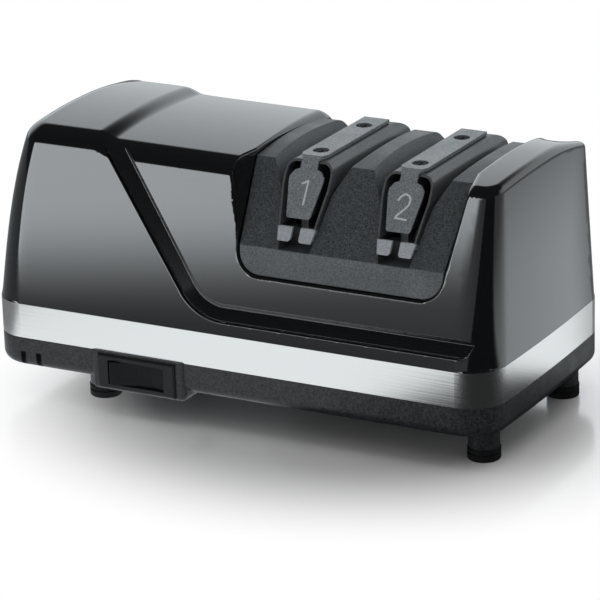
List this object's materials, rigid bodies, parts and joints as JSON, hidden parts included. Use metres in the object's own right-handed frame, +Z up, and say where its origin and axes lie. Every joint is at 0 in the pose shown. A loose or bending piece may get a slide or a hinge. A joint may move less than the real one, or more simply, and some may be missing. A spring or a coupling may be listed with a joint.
{
  "type": "electric knife sharpener",
  "caption": "Countertop electric knife sharpener: black moulded housing with steel band, moulded insert with sprung blade guides over motor-driven grinding discs, rocker switch.",
  "frame": {"origin": "centre of the footprint at the underside of the feet", "axes": "+X along the body towards the blade guides, -Y towards the user, +Z up"},
  "size_m": [0.225, 0.1176, 0.1136],
  "materials": {
    "housing_black": "high gloss moulded, black",
    "band_steel": "bright lengthwise brush",
    "base_black": "fine satin moulded, black",
    "foot_rubber": "matt black rubber",
    "insert_charcoal": "fine spark-eroded texture, charcoal",
    "spring_black": "satin, black",
    "bar_grey": "satin, dark grey",
    "screw_steel": "blackened steel",
    "stop_grey": "satin, light grey",
    "switch_black": "satin, black",
    "rocker_black": "semi-gloss, black",
    "terminal_brass": "plain",
    "magnet_ferrite": "sintered ferrite, dark grey",
    "lamination_steel": "stacked sheet edges",
    "bobbin_white": "natural nylon",
    "winding_copper": "enamelled copper wire",
    "bracket_aluminium": "die cast",
    "bearing_bronze": "sintered bronze",
    "shaft_steel": "ground",
    "fan_black": "moulded nylon, black",
    "disc_grey": "moulded carrier, grey",
    "abrasive_grey": "diamond-coated, fine grain"
  },
  "bodies": {
    "case": {"upper_housing": "housing_black", "steel_band": "band_steel", "base_pan": "base_black", "foot_posts": "base_black", "rubber_feet": "foot_rubber", "guide_insert": "insert_charcoal", "guide_spring_1": "spring_black", "guide_spring_2": "spring_black", "guide_bar_1": "bar_grey", "guide_bar_2": "bar_grey", "guide_bar_screws": "screw_steel", "blade_stops": "stop_grey", "switch_body": "switch_black", "switch_terminals": "terminal_brass", "cord_gland": "foot_rubber", "stator_stack": "lamination_steel", "coil_bobbin": "bobbin_white", "coil_winding": "winding_copper", "bearing_bracket_left": "bracket_aluminium", "bearing_bracket_right": "bracket_aluminium", "sleeve_bearings": "bearing_bronze", "motor_bolts": "screw_steel", "end_bearing": "bearing_bronze", "base_screws": "screw_steel"},
    "drive_line": {"drive_shaft": "shaft_steel", "rotor_core": "lamination_steel", "cooling_fan": "fan_black", "drive_pins": "shaft_steel"},
    "disc_1": {"grinding_disc_1": "disc_grey", "abrasive_ring_1": "abrasive_grey"},
    "disc_2": {"grinding_disc_2": "disc_grey", "abrasive_ring_2": "abrasive_grey"},
    "disc_3": {"grinding_disc_3": "disc_grey", "abrasive_ring_3": "abrasive_grey"},
    "disc_4": {"grinding_disc_4": "disc_grey", "abrasive_ring_4": "abrasive_grey"},
    "rocker": {"rocker": "rocker_black"},
    "clean_out_cover": {"clean_out_cover": "base_black", "swarf_magnet": "magnet_ferrite"}
  },
  "joints": [
    {"name": "shaft_spin", "type": "hinge", "parent": "case", "child": "drive_line", "pos_m": [0, -0.0035, 0.06], "axis": [1, 0, 0], "continuous": true},
    {"name": "disc_slide_1", "type": "slide", "parent": "drive_line", "child": "disc_1", "axis": [1, 0, 0], "range_m": [0, 0.0015], "stiffness_N_per_m": 400, "springref_m": -0.003},
    {"name": "disc_slide_2", "type": "slide", "parent": "drive_line", "child": "disc_2", "axis": [-1, 0, 0], "range_m": [0, 0.0015], "stiffness_N_per_m": 400, "springref_m": -0.003},
    {"name": "disc_slide_3", "type": "slide", "parent": "drive_line", "child": "disc_3", "axis": [1, 0, 0], "range_m": [0, 0.0015], "stiffness_N_per_m": 400, "springref_m": -0.003},
    {"name": "disc_slide_4", "type": "slide", "parent": "drive_line", "child": "disc_4", "axis": [-1, 0, 0], "range_m": [0, 0.0015], "stiffness_N_per_m": 400, "springref_m": -0.003},
    {"name": "rocker_hinge", "type": "hinge", "parent": "case", "child": "rocker", "pos_m": [-0.042, -0.053, 0.0182], "axis": [0, 0, -1], "range_deg": [0, 14]},
    {"name": "clean_out_cover_hinge", "type": "hinge", "parent": "case", "child": "clean_out_cover", "pos_m": [0.047, 0.0175, 0.0168], "axis": [1, 0, 0], "range_deg": [0, 80]}
  ]
}
